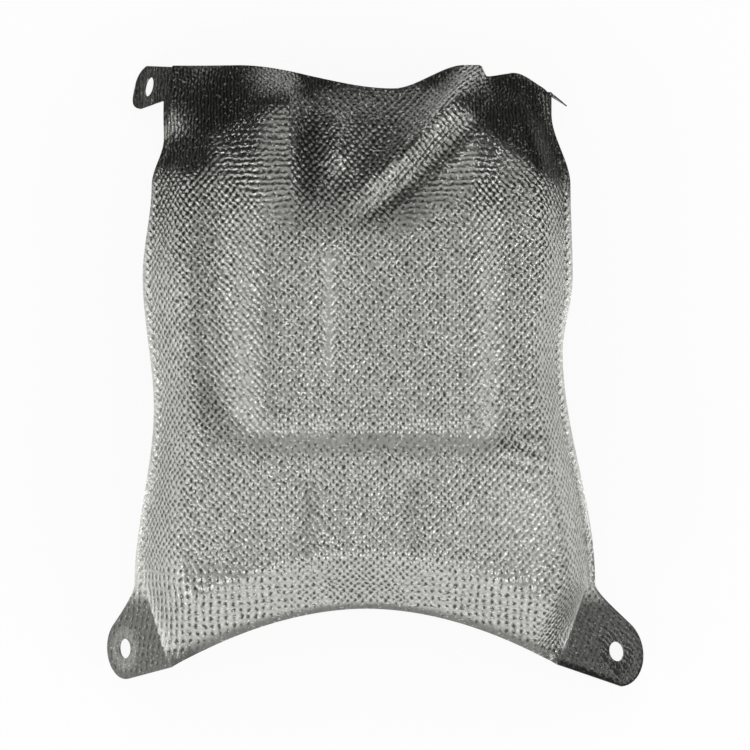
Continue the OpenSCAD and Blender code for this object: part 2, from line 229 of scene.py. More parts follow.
def foldL(j):
    # fold between the vault and the left strip
    er, sr = grid["earRows"], grid["sideRows"]
    more, rate = sh["flangeMore"]
    inset = np.stack([sh["flangeW"] + more - np.clip(sideShare(j) * rate, 0, more), 0 * j], -1)
    neck = outerL(np.full_like(j, er + sr)) + [sh["flangeW"], 0]
    return pick([j <= er, j <= er + sr],
                [mix(foldFootL, np.array([-sh["skirt"][0] + sh["flangeW"] + more, sh["skirtY"]]),
                     (j / er)[..., None]),
                 outerL(j) + inset,
                 mix(neck, foldHeadL, ((j - er - sr) / grid["topRows"])[..., None])])


def foldR(j):
    # fold between the vault and the right strip
    er = grid["earRows"]
    return pick([j <= er],
                [mix(foldFootR, np.array([sh["skirt"][1] - sh["flangeW"], sh["skirtY"]]),
                     (j / er)[..., None]),
                 outerR(j) - [sh["flangeW"], 0]])


def archY(s):
    # lower edge: chord + rise (1 - |2s - 1|^power)
    return mix(foldFootL[1], foldFootR[1], s) + sh["archRise"] * (1 - np.abs(2 * s - 1) ** grid["archPower"])


topEdge = [(-62, sh["topHigh"]), (8, sh["topHigh"] - sh["topDip"]), (40, sh["topHigh"]), (47, sh["topHigh"]),
           (50, sh["topHigh"] - 5), (62, sh["topHigh"] - 3.5), (sh["neck"][1] + 2, edgeTopR)]


def share(k):
    # share across the vault of a column, closer near the walls: t - crowding sin(2 pi t)
    t = k / grid["vaultN"]
    return t - grid["crowding"] * np.sin(2 * np.pi * t)


def plan(s, j):
    # place in plan of a point of the vault, between the folds, the arch and the top edge
    a, b = foldL(j), foldR(j)
    zero, last = np.zeros(1), np.full(1, float(rows))
    v = j / rows
    x = mix(a[..., 0], b[..., 0], s)
    low = mix(foldL(zero)[0, 1], foldR(zero)[0, 1], s)
    high = mix(foldL(last)[0, 1], foldR(last)[0, 1], s)
    leave, reach = grid["follow"]
    y = (mix(a[..., 1], b[..., 1], s) + (archY(s) - low) * (1 - v) ** leave
         + (along(topEdge, x) - high) * v**reach)
    return np.stack([x, y], -1)


sideLine = [(sh["skirtY"] + 10, sh["sideZ"] - 6), (sh["waistY"][0] - 20, sh["sideZ"]),
            (sh["shoulderY"], sh["sideZ"]), (sh["neckY"][1], sh["topZ"])]


def lowShare(j):
    # share of a lower ear's plane at a row: 1 over the ear, 0 along the side
    return 1 - step(j, *grid["lowBlend"])


def stripZL(p, j, out):
    # height of the left strip: plain flange, blended into the plane of each ear
    plain = along(sideLine, p[..., 1]) - sh["flangeDrop"] * out
    low = mix(plain, earZ(earLowL, p), lowShare(j))
    start = rows - grid["topRows"]
    high = mix(plain, earZ(earTopL, p), step(j, start - grid["topBlend"], start))
    return np.where(j < rows / 2, low, high)


def stripZR(p, j, out):
    # height of the right strip: plain flange, blended into the plane of the lower ear
    plain = along(sideLine, p[..., 1]) - sh["flangeDrop"] * out
    return mix(plain, earZ(earLowR, p), lowShare(j))


midX = (sh["skirt"][1] - sh["skirt"][0]) / 2


# Where the pressed forms lie in plan, mm: a bell's centre and width, or pairs to step up and down
forms = {
    "upper": (-6, 36, 12), "upperSide": (-84, -60),       # start over the groove, its length left and right
    "ledgeL": (-70, -47), "ledgeR": (42, 58), "ledgeSwell": (1.5, (-77, 6)),
    "sag": (8, 95),                                       # fall of the crown towards its sides, half width
    "recess": ((-39, -30), (-12, 2)),                     # from x, to the bead's foot
    "bends": (5, 4, 3),                                   # radii: lobes, recess, corners
    "groove": (6, ((-84, -44), (60, 80))),
    "padX": ((-29, 3.5), (17, 3.5)), "padY": ((-82, -72), (-48, -40)),
    "ridgeX": (-17, 4), "ridgeY": ((86, 100), (110, 122)),
    "bead": (43.5, 141, 0.155, 1.4), "beadLean": 0.75,    # x at the top edge, y there, bow and its power
    "beadW": (0, 7), "beadFrom": (80, 98),
    "valleyX": (11, 5), "valleyY": ((64, 84), (104, 122)),
    "cornerNormals": ((-0.67, 0.74), (0.6, 0.8)),
    "ribX": (-20.5, 1.9), "ribY": ((-6, 4), (50, 60)), "ribH": 0.25,
    "ribDents": ((-24.5, 2), (-16.5, 2)), "ribDentD": 0.8,
    "creaseH": 0.7, "creaseX": (68, 9), "creaseY": (-38, 11), "creasePitch": 8, "creaseLean": 0.3,
}


def pastBead(x, y):
    # distance past the slanting bead's line in plan, which is straighter towards the top edge
    top, end, bow, power = forms["bead"]
    return forms["beadLean"] * (x - (top - bow * np.clip(end - y, 0, None) ** power))


def intoCorners(x, y):
    # distances into the left and the right slanting corner, in plan
    return [nx * (x - cx) + ny * (y - cy)
            for (nx, ny), (cx, cy) in zip(forms["cornerNormals"], (sh["cornerL"], sh["cornerR"]))]


def padMask(x, y):
    # the two upright dents below the groove
    return sum(bell(x, *pad) for pad in forms["padX"]) * band(y, *forms["padY"])


def ribMask(x, y):
    # the low upright rib left of the middle
    return fade(x, forms["ribX"]) * fade(y, forms["ribY"])


def crown(x, y):
    # plateau between two ledges above the groove, plain crown below it; the roof falls gently over
    # the two lobes, more in the recess between them and most over the two slanting corners
    f = forms
    start, lengthL, lengthR = f["upper"]
    length = mix(lengthL, lengthR, step(x, *f["upperSide"]))
    upper = step(y, sh["grooveY"] + start, sh["grooveY"] + length)
    swell, swellX = f["ledgeSwell"]
    ledges = (sh["ledge"][0] * (1 - step(x, *f["ledgeL"])) + sh["ledge"][1] * step(x, *f["ledgeR"])
              + swell * bell(x, *swellX))
    fall, halfW = f["sag"]
    plain = fall * ((x - midX) / halfW) ** 2
    recess = step(x, *f["recess"][0]) * (1 - step(pastBead(x, y), *f["recess"][1]))
    lobeR, recessR, cornerR = f["bends"]
    roof = (sh["lobeSlope"] * bend(y - sh["lobeY"], lobeR)
            + sh["recessSlope"] * bend(y - sh["recessY"], recessR) * recess
            + sh["cornerSlope"] * sum(bend(d, cornerR) for d in intoCorners(x, y)))
    grooveW, grooveX = f["groove"]
    groove = sh["grooveD"] * bell(y, sh["grooveY"], grooveW) * band(x, *grooveX)
    return sh["crownZ"] - mix(plain, ledges, upper) - roof - groove - sh["padD"] * padMask(x, y)


def roofForms(x, y):
    # upright ridge in the recess, slanting bead, and the valley between the bead and the right lobe
    across = pastBead(x, y)
    return (sh["ridgeH"] * fade(x, forms["ridgeX"]) * fade(y, forms["ridgeY"])
            + sh["beadH"] * fade(across, forms["beadW"]) * step(y, *forms["beadFrom"])
            - sh["valleyD"] * fade(across, forms["valleyX"]) * fade(y, forms["valleyY"]))


def fineForms(x, y):
    # a low rib between two dents left of the middle, and short creases by the right flank
    f = forms
    dents = sum(bell(x, *dent) for dent in f["ribDents"]) * fade(y, f["ribY"])
    waves = np.cos(2 * np.pi * (y + f["creaseLean"] * x) / f["creasePitch"])
    return (f["ribH"] * ribMask(x, y) - f["ribDentD"] * dents
            + f["creaseH"] * fade(x, f["creaseX"]) * fade(y, f["creaseY"]) * waves)


def rise(d, run):
    # sine quarter from 0 at the fold to 1 at the panel
    return np.sin(np.pi / 2 * np.clip(d / run, 0, 1))


def vaultZ(s, j):
    # folds' height plus the crown over it, times the rise of the four walls
    p, a, b, v = plan(s, j), plan(0 * s, j), plan(0 * s + 1, j), j / rows
    zero, last = np.zeros(1), np.full(1, float(rows))
    lowA, lowB = stripZL(foldL(zero), zero, 0)[0], stripZR(foldR(zero), zero, 0)[0]
    highA, highB = stripZL(foldL(last), last, 0)[0], stripZR(foldR(last), last, 0)[0]
    swell = np.sin(np.pi * s)
    edgeLow = mix(lowA, lowB, s) + (sh["archZ"] - (lowA + lowB) / 2) * swell
    edgeHigh = mix(highA, highB, s) + sh["hoodSwell"] * swell
    corners = mix(mix(lowA, lowB, s), mix(highA, highB, s), v)
    edge = mix(stripZL(a, j, 0), stripZR(b, j, 0), s) + mix(edgeLow, edgeHigh, v) - corners
    low, high = plan(s, 0 * j)[..., 1], plan(s, 0 * j + rows)[..., 1]
    walls = (rise(p[..., 0] - a[..., 0], sh["wallRun"][0]) * rise(b[..., 0] - p[..., 0], sh["wallRun"][1])
             * rise(p[..., 1] - low, sh["skirtRun"]) * rise(high - p[..., 1], sh["hoodRun"]))
    x, y = p[..., 0], p[..., 1]
    return edge + (crown(x, y) + roofForms(x, y) + fineForms(x, y) - edge) * walls


def midPoint(i, j):
    # middle surface at column i and row j of the solid's grid
    tL = np.clip(1 - i / grid["stripN"], 0, 1)
    tR = np.clip(1 - (cols - i) / grid["stripN"], 0, 1)
    pL = mix(foldL(j), outerL(j), tL[..., None])
    pR = mix(foldR(j), outerR(j), tR[..., None])
    s = share(np.clip(i - grid["stripN"], 0, grid["vaultN"]))
    pV = plan(s, j)
    left = np.concatenate([pL, stripZL(pL, j, tL)[..., None]], -1)
    right = np.concatenate([pR, stripZR(pR, j, tR)[..., None]], -1)
    vault = np.concatenate([pV, vaultZ(s, j)[..., None]], -1)
    return pick([i < grid["stripN"], i > cols - grid["stripN"]], [left, right, vault])


def tabPoint(i, j):
    # upper right ear: hangs from the last columns of the top edge
    t = ((j - rows) / grid["tabRows"])[..., None]
    a = (2 * (i - cols + tabCols) / tabCols - 1)[..., None]
    root = midPoint(i, np.full_like(i, float(rows)))
    e = earTopR
    drop = (root[..., 2:] - e["centre"][2]) / math.sin(math.radians(e["lean"]))
    reach = drop + e["reach"] * np.sqrt(1 - grid["tabRound"] * a * a)
    ideal = e["centre"] - e["down"] * (drop - reach * t) - e["level"] * a * e["halfW"]
    return mix(root, ideal, step(t, 0, grid["tabBlend"]))


def spread(marks, counts):
    # positions between marks, each stretch cut into its count
    parts = [np.linspace(a, b, n, endpoint=False) for a, b, n in zip(marks, marks[1:], counts)]
    return np.concatenate(parts + [marks[-1:]])


def normals(p):
    # unit cross product of the two directions of the grid
    e = np.gradient(p, axis=1)
    n = np.gradient(p, axis=0)
    c = np.cross(e, n)
    return c / np.linalg.norm(c, axis=-1, keepdims=True)


def sheetPath(p, n):
    # lengths over the sheet across and along, from slopes in x and in y, halved towards the plan
    # because the draw stretches the walls
    zx, zy = n[..., 0] / n[..., 2], n[..., 1] / n[..., 2]
    dx = np.diff(p[..., 0], axis=1) * np.sqrt(1 + ((zx[:, 1:] + zx[:, :-1]) / 2) ** 2)
    dy = np.diff(p[..., 1], axis=0) * np.sqrt(1 + ((zy[1:] + zy[:-1]) / 2) ** 2)
    a = np.concatenate([np.zeros((p.shape[0], 1)), np.cumsum(dx, 1)], 1)
    b = np.concatenate([np.zeros((1, p.shape[1])), np.cumsum(dy, 0)], 0)
    ic, jc = p.shape[1] // 2, p.shape[0] // 2
    a += p[:, ic:ic + 1, 0] - a[:, ic:ic + 1]
    b += p[jc:jc + 1, :, 1] - b[jc:jc + 1]
    return mix(p[..., 0], a, grid["pathShare"]), mix(p[..., 1], b, grid["pathShare"])


def seatMask(p, e, d):
    # 1 inside the coined seat of an ear, 0 outside it
    r = np.linalg.norm(p - e["centre"], axis=-1)
    return 1 - step(r, d / 2 - sh["seatEdge"], d / 2 + sh["seatEdge"])


# Patches in plan: strength, then how each fades in x and in y
leftRamp, rightRamp = ((-57, 9), ((-40, -20), (70, 84))), ((50, 6), ((-40, -20), (70, 84)))

# How the draw changed the embossing
draw = {
    "ironed": (
        (0.5, *leftRamp), (0.5, *rightRamp),
        (0.7, forms["ribX"], forms["ribY"]),
        (0.6, ((-60, -45), (35, 60)), (-29, 4.5)),               # the groove's foot
        (0.5, (-48, 11), (106, 10)),                             # left lobe
    ),
    "ironedLobe": (0.5, (16, 22)), "lobeY": ((84, 94), (112, 120)), "ironedMost": 0.8,
    "rows": 0.6, "rowsBelow": (80, 92), "rowsGap": (-5, 34), "rowsTo": (66, 78),
    "linesL": ((-74, -70), (-40, -34)), "footL": (-71, 92, 0.84),        # a point of each lobe's foot
    "linesR": ((6, 14), (52, 60)), "footR": (10, 62, -0.63),             # and its fall
    "linesPast": (14, 20), "linesTo": (114, 120), "footFade": (-4, 4),
    "bareSide": 0.9, "bareEar": 0.6, "bareFade": 1.6,            # smooth width at the edges, then a fade
    "bareLow": (2.2, 4.4), "bareTop": (0.6, 1.6), "bareTab": (0.6, 1.8),
    "seatIron": 0.7, "wallGain": (2.2, 1.1),                     # flatter on seats, stronger on walls
}

# How much painted shade each place gets, 0 to 1: the dark ears and corners are painted shade standing in for
# dark reflections, and the rim, the dents and the patches are painted shade in edges and recesses
paintedShade = {
    "lowL": 0.9, "lowR": 0.97, "topL": 0.62, "topR": 0.9,        # the ears, in painted shade
    "footY": (-106, -94), "headY": (-18, -13),                   # where they start, in y and from the top
    "corners": 0.76, "lobeEnd": (-71, 90), "lobeEdge": (-71, 106), "lobeNormal": (-0.36, 0.93),
    "fadeL": (-2, 5), "fadeR": (-3, 6), "paler": (0.25, (-48, 14)),
    "dents": 0.3, "rim": 0.8, "rimW": (2, 4.5, 8, 90),           # its start, least and added width, span
    # patches of painted shade: left ledge, both ramps, over the groove, the recess's foot, left of the ridge
    # and the valley's foot
    "patches": (
        (0.3, (-77, 8), ((-30, -10), (74, 86))),                 # left ledge
        (0.14, *leftRamp), (0.14, *rightRamp),
        (0.17, ((-62, -50), (56, 66)), (-19, 5)),                # over the groove
        (0.42, ((-46, -34), (12, 24)), (70, 8)),                 # foot of the recess
        (0.75, (-29, 6), ((72, 82), (110, 120))),                # left of the ridge
        (0.55, (16, 10), (74, 9)),                               # foot of the valley
    ),
}

# How much painted highlight the proud places get, where there is little painted shade
paintedHighlight = {
    "unless": 0.35,                                              # only where the painted shade is less
    "bead": 0.45, "beadHeadW": (0, 6), "beadHeadFrom": (100, 112), "beadClears": 0.8,
    "fold": 0.9, "foldW": 0.8, "foldAbove": (0.6, (-100, -80)), "foldTo": (60, 78),
    "flange": 0.6, "flangeY": ((-104, -90), (50, 74)),
    # painted highlight on the right lobe; a ring of less painted shade round each hole, which is painted
    # highlight too
    "lobe": 0.45, "seatRing": (0.4, (7.5, 2.5)),
    # painted highlight patches on the rib, across the recess, in streaks, on the ridge and on the right flank
    "patches": (
        (0.6, forms["ribX"], forms["ribY"]),
        (0.5, ((-30, -25), (-11, -6)), (72, 1.3)), (0.3, ((-30, -25), (-11, -6)), (116.5, 1.5)),   # two thin painted highlight lines across the recess
        *((0.22, (c, 1.2), ((-24, -10), (46, 62))) for c in (-40, -29, -13, 33, 41)),   # painted highlight streaks
        (0.2, (-13, 6), ((80, 90), (112, 118))),                 # painted highlight on the ridge
        (0.35, (72, 17), (-62, 24)),                             # painted highlight on the right flank
    ),
}


def patches(x, y, table):
    # strength times both fades, for each row of the table
    return [strength * fade(x, inX) * fade(y, inY) for strength, inX, inY in table]


def rightLobe(x, y, past):
    # the lobe past the slanting bead
    return step(pastBead(x, y), *past) * band(y, *draw["lobeY"])


def beadHead(x, y):
    # the upper end of the slanting bead, where it stands clear of the corners' painted shade and gets painted
    # highlight
    return fade(pastBead(x, y), paintedHighlight["beadHeadW"]) * step(y, *paintedHighlight["beadHeadFrom"])


def darkCorners(x, y):
    # the two corners: beyond the left lobe's round end and upper edge, and past the right lobe's slant
    (endX, endY), (edgeX, edgeY), (nx, ny) = paintedShade["lobeEnd"], paintedShade["lobeEdge"], paintedShade["lobeNormal"]
    left = np.maximum(np.minimum(endX - x, y - endY), ny * (y - edgeY) + nx * (x - edgeX))
    right = intoCorners(x, y)[1]
    both = np.maximum(step(left, *paintedShade["fadeL"]), step(right, *paintedShade["fadeR"]))
    return both * (1 - paintedHighlight["beadClears"] * beadHead(x, y))


def calmMask(x, y):
    # where the draw ironed the embossing: both ramps, the rib, the groove's foot and both lobes
    most, past = draw["ironedLobe"]
    return np.clip(sum(patches(x, y, draw["ironed"])) + most * rightLobe(x, y, past), 0, draw["ironedMost"])


def fanMask(x, y):
    # where the bumps run together into rows: the skirt's two corners
    return (draw["rows"] * step(-y, *draw["rowsBelow"]) * (1 - bell(x, *draw["rowsGap"]))
            * (1 - step(x, *draw["rowsTo"])))


def aboveFoot(x, y, foot):
    # 1 above the slanting foot line of a lobe: y - cy + fall (x - cx) past zero
    cx, cy, fall = foot
    return step(y - cy + fall * (x - cx), *draw["footFade"])


def drawnMask(x, y):
    # how the draw pulled the embossing into lines: 1 across the lobes, -1 upright in the corners
    corners = darkCorners(x, y)
    left = band(x, *draw["linesL"]) * aboveFoot(x, y, draw["footL"])
    right = (step(pastBead(x, y), *draw["linesPast"]) * band(x, *draw["linesR"])
             * aboveFoot(x, y, draw["footR"]))
    return (left + right) * (1 - step(y, *draw["linesTo"])) * (1 - corners) - corners


def paintShading(x, y, ii, jj, low):
    # painted shade of ears, corners, rim, patches and dents, less the painted highlight where there is little
    # painted shade
    g = grid
    onL, onR = ii < g["stripN"], ii > cols - g["stripN"]
    # painted shade on the ears
    foot = 1 - step(y, *paintedShade["footY"])
    head = step(y - sh["topHigh"], *paintedShade["headY"])
    ears = paintedShade["lowL"] * foot * onL + paintedShade["lowR"] * foot * onR + paintedShade["topL"] * head * onL
    part, palerX = paintedShade["paler"]
    # painted shade in the two corners, paler towards the left lobe
    corners = paintedShade["corners"] * darkCorners(x, y) * (1 - part * bell(x, *palerX))
    # painted shade along the lower edge of the arch
    start, least, more, halfW = paintedShade["rimW"]
    rim = 1 - step(low, start, least + more * ((x - midX) / halfW) ** 2)
    rim = paintedShade["rim"] * rim * (jj < g["earRows"]) * ~onL * ~onR
    # painted shade in the two dents
    dents = paintedShade["dents"] * padMask(x, y)
    paintedShading = np.maximum.reduce([ears, corners, rim, dents, *patches(x, y, paintedShade["patches"])])

    # painted highlight along both folds and the flanges, on the bead's head, the right lobe and the patches
    folds = bell(ii, g["stripN"], paintedHighlight["foldW"]) + bell(ii, cols - g["stripN"], paintedHighlight["foldW"])
    part, above = paintedHighlight["foldAbove"]
    folds *= mix(1, part, step(y, *above)) * (1 - step(y, *paintedHighlight["foldTo"]))
    folds = np.maximum(folds, paintedHighlight["flange"] * (onL | onR) * band(y, *paintedHighlight["flangeY"]))
    bright = (sum(patches(x, y, paintedHighlight["patches"])) + paintedHighlight["bead"] * beadHead(x, y) + paintedHighlight["fold"] * folds
              + paintedHighlight["lobe"] * rightLobe(x, y, draw["linesPast"]))
    return paintedShading - bright * (paintedShading < paintedHighlight["unless"])


def cells(k):
    # four corners of each cell of a grid of numbers
    return np.stack([k[:-1, :-1], k[:-1, 1:], k[1:, 1:], k[1:, :-1]], -1).reshape(-1, 4)


def dress(p, n, a, b, k, paintedShading):
    # both skins half a thickness along the normal from the middle one, and each point's marks
    seat = np.zeros(p.shape[:2])
    most, ring = paintedHighlight["seatRing"]
    for e, d in ((earLowL, sh["seatD"]), (earLowR, sh["seatD"]), (earTopL, sh["smallSeatD"]),
                 (earTopR, sh["smallSeatD"])):
        seat = np.maximum(seat, seatMask(p, e, d))
        # less painted shade in a ring round each hole: painted highlight
        paintedShading = paintedShading * (1 - most * bell(np.linalg.norm(p - e["centre"], axis=-1), *ring))
    t = mix(sh["sheetT"], sh["seatT"], seat)[..., None] / 2
    x, y = p[..., 0], p[..., 1]
    most, less = draw["wallGain"]
    k = k * (1 - draw["seatIron"] * seat) * (1 - calmMask(x, y)) * (most - less * np.abs(n[..., 2]))
    marks = [a, b, k, paintedShading, drawnMask(x, y), fanMask(x, y)]
    return p + n * t, p - n * t, np.stack(marks, -1).reshape(-1, len(marks))


def punch(e, mid, top, under, quads):
    # cells that reach into the hole go, and its ring of corners is drawn to the circle
    radius = sh["holeD"] / 2
    rel = mid - e["centre"]
    height = rel @ e["out"]
    level = rel - height[:, None] * e["out"]
    r = np.linalg.norm(level, axis=1)
    near = np.abs(height) < grid["nearHole"]
    gone = (near & (r < radius))[quads].any(1)
    ring = np.intersect1d(np.unique(quads[gone]), np.unique(quads[~gone]))
    ring = ring[near[ring] & (r[ring] < sh["holeD"])]
    move = level[ring] * (radius / r[ring] - 1)[:, None]
    top[ring] += move
    under[ring] += move
    return quads[~gone]


def makeSheet():
    # fine grid over the middle surface, two skins, four holes and a rim all round
    g = grid
    iFine = spread([0, g["stripN"], g["stripN"] + g["vaultN"], cols],
                   [g["fineStrip"], g["fineVault"], g["fineStrip"]])
    jFine = spread([0, g["earRows"], g["earRows"] + g["sideRows"], rows],
                   [g["fineEar"], g["fineSide"], g["fineTop"]])
    tFine = np.linspace(rows, rows + g["tabRows"], g["fineTab"] + 1)[1:]
    jj, ii = np.meshgrid(jFine, iFine, indexing="ij")
    main = midPoint(ii, jj)
    tabFrom = int(np.searchsorted(iFine, cols - tabCols - 1e-6))
    tj, ti = np.meshgrid(tFine, iFine[tabFrom:], indexing="ij")
    tab = tabPoint(ti, tj)

    nMain = normals(main)
    hung = np.concatenate([main[-1:, tabFrom:], tab], 0)
    nTab = normals(hung)
    joint = nMain[-1, tabFrom:] + nTab[0]
    nMain[-1, tabFrom:] = joint / np.linalg.norm(joint, axis=-1, keepdims=True)

    # lengths over the sheet, which carry the embossing
    a, b = sheetPath(main, nMain)
    down = np.cumsum(np.linalg.norm(np.diff(hung, axis=0), axis=-1), 0)
    aTab = np.broadcast_to(a[-1, tabFrom:], tab.shape[:2])
    bTab = b[-1, tabFrom:] + down

    # how far the embossing stands: none in a narrow smooth width along every edge
    outL = np.linalg.norm(main[:, :1] - main, axis=-1)
    outR = np.linalg.norm(main[:, -1:] - main, axis=-1)
    low = np.linalg.norm(main[:1] - main, axis=-1)
    high = np.linalg.norm(main[-1:] - main, axis=-1)
    earRowsHere = (jj < g["earRows"] - 1) | (jj > g["earRows"] + g["sideRows"])
    near = np.where(earRowsHere, draw["bareEar"], draw["bareSide"])
    emboss = (step(outL, near, near + draw["bareFade"]) * step(outR, near, near + draw["bareFade"])
              * step(low, *draw["bareLow"]) * step(high, *draw["bareTop"]))
    emboss[-1, tabFrom:] = 1
    sides = [np.linalg.norm(tab - side, axis=-1) for side in (tab[:, :1], tab[:, -1:], tab[-1:])]
    embossTab = step(np.minimum(*sides[:2]), *draw["bareTab"]) * step(sides[2], *draw["bareTab"])

    # painted shade and painted highlight over the sheet; the hung ear is all in painted shade
    paintedShading = paintShading(main[..., 0], main[..., 1], ii, jj, low)
    shadingTab = np.full(tab.shape[:2], paintedShade["topR"])

    topM, underM, stampM = dress(main, nMain, a, b, emboss, paintedShading)
    topT, underT, stampT = dress(tab, nTab[1:], aTab, bTab, embossTab, shadingTab)

    # corners of the cells, first the main grid and then the hung ear
    rM, cM = main.shape[:2]
    ids = np.arange(rM * cM).reshape(rM, cM)
    snap = np.arange(cM)
    strip = (snap < g["fineStrip"]) | (snap > cM - 1 - g["fineStrip"])
    last = cM - 1 - (cM - 1 - snap) // g["coarse"] * g["coarse"]
    snap = np.where(strip, np.where(snap < cM / 2, snap // g["coarse"] * g["coarse"], last), snap)
    plainL = (jFine > g["earRows"]) & (jFine < g["earRows"] + g["sideRows"] - g["coarseEnd"])
    plainR = jFine > g["earRows"]
    half = np.arange(cM) < cM / 2
    ids = np.where(np.where(half, plainL[:, None], plainR[:, None]), ids[:, snap], ids)
    tabIds = rM * cM + np.arange(tab.shape[0] * tab.shape[1]).reshape(tab.shape[:2])
    tabIds = np.concatenate([ids[-1:, tabFrom:], tabIds], 0)
    tabIds[1:] = tabIds[1:][:, snap[tabFrom:] - tabFrom]
    quads = np.concatenate([cells(ids), cells(tabIds)])
    quads = quads[(quads[:, 0] != quads[:, 1]) | (quads[:, 2] != quads[:, 3])]
    mid = np.concatenate([main.reshape(-1, 3), tab.reshape(-1, 3)])
    top = np.concatenate([topM.reshape(-1, 3), topT.reshape(-1, 3)])
    under = np.concatenate([underM.reshape(-1, 3), underT.reshape(-1, 3)])
    stamp = np.concatenate([stampM, stampT])

    for e in (earLowL, earLowR, earTopL, earTopR):
        quads = punch(e, mid, top, under, quads)

    # rim: each border edge of the upper skin joins the same edge of the lower skin
    n = len(mid)
    border = punched(quads, n)
    rim = np.stack([border[:, 1], border[:, 0], border[:, 0] + n, border[:, 1] + n], -1)
    faces = np.concatenate([quads, quads[:, ::-1] + n, rim])

    verts = np.concatenate([top, under]) / 1000
    stamp = np.concatenate([stamp, stamp])
    used, faces = np.unique(faces, return_inverse=True)
    faces = faces.reshape(-1, 4)
    verts, stamp = verts[used], stamp[used]

    mesh = bpy.data.meshes.new("pressed_sheet")
    faces = [list(dict.fromkeys(f)) for f in faces.tolist()]      # cells beside a strip's end are triangles
    mesh.from_pydata(verts, [], faces)
    mesh.update()
    # marks of each point, among them the painted shade, which is painted highlight where it is negative
    for k, name in enumerate(("across", "along", "stamp", "paintedShading", "drawn", "fan")):
        layer = mesh.attributes.new(name, "FLOAT", "POINT")
        layer.data.foreach_set("value", stamp[:, k].astype(np.float32))
    mesh.shade_smooth()
    mesh.set_sharp_from_angle(angle=math.radians(g["sharpFrom"]))
    piece = bpy.data.objects.new("pressed_sheet", mesh)
    bpy.context.scene.collection.objects.link(piece)
    print("stage: sheet has", sum(len(p.vertices) - 2 for p in mesh.polygons), "triangles")
    return piece


# Finish of the aluminium: what a user would change
finish = {
    "pitch": (3.3, 3.85), "relief": 0.00027,       # one wave of the embossing in mm, its height in m
    "stray": 2.4, "jitter": 1.9,                   # how far the rows and the single bumps wander, mm
    "strayScale": (90.0, 120.0), "jitterScale": 330.0,
    "lines": (1.5, 2.6),                           # drawn lines: upright in the corners, across the lobes, mm
    "lineHeight": 0.4, "bumpOnLines": (0.7, 0.3),  # their height, and the bumps that are left among them
    # hollow tone darker as grime and painted shade, crest tone paler as wear and painted highlight
    "hollow": (0.14, (0.095, 0.097, 0.088)),       # tones and where each stands between hollow and crest
    "metal": (0.38, (0.455, 0.46, 0.43)), "crest": (0.9, (0.66, 0.665, 0.63)),
    "toneOf": (2.5, 0.75), "toneRange": (0.15, 2.35),        # shares of wrinkle and bump in the tone
    "paintedShading": (0.07, 0.07, 0.065), "shadingCover": 0.88, "lineLessShade": 0.5,     # painted shade: its dark tone, how fully it covers, and how much less of it along the upright lines, which makes painted lighter streaks
    "glint": (0.78, 0.78, 0.74), "glintScale": 950.0, "glintShare": (0.67, 0.78),    # painted glints: bright specks
    # painted glints: more on the painted highlight, fewer under the painted shade, their loss of metal; and
    # how pale the painted highlight makes the tone
    "glintOnHighlight": 0.13, "glintUnderShade": 0.75, "glintDull": 0.7, "highlightPale": 0.7,
    "roughness": (0.2, 0.42),
    "wrinkleScale": 620.0, "wrinkle": 0.0003,      # dents between and on the bumps
    "grainScale": 1500.0, "grain": 0.00004,        # fine mill grain
    "blotchScale": 30.0, "blotch": 0.22,           # soft patches of dulled metal
}


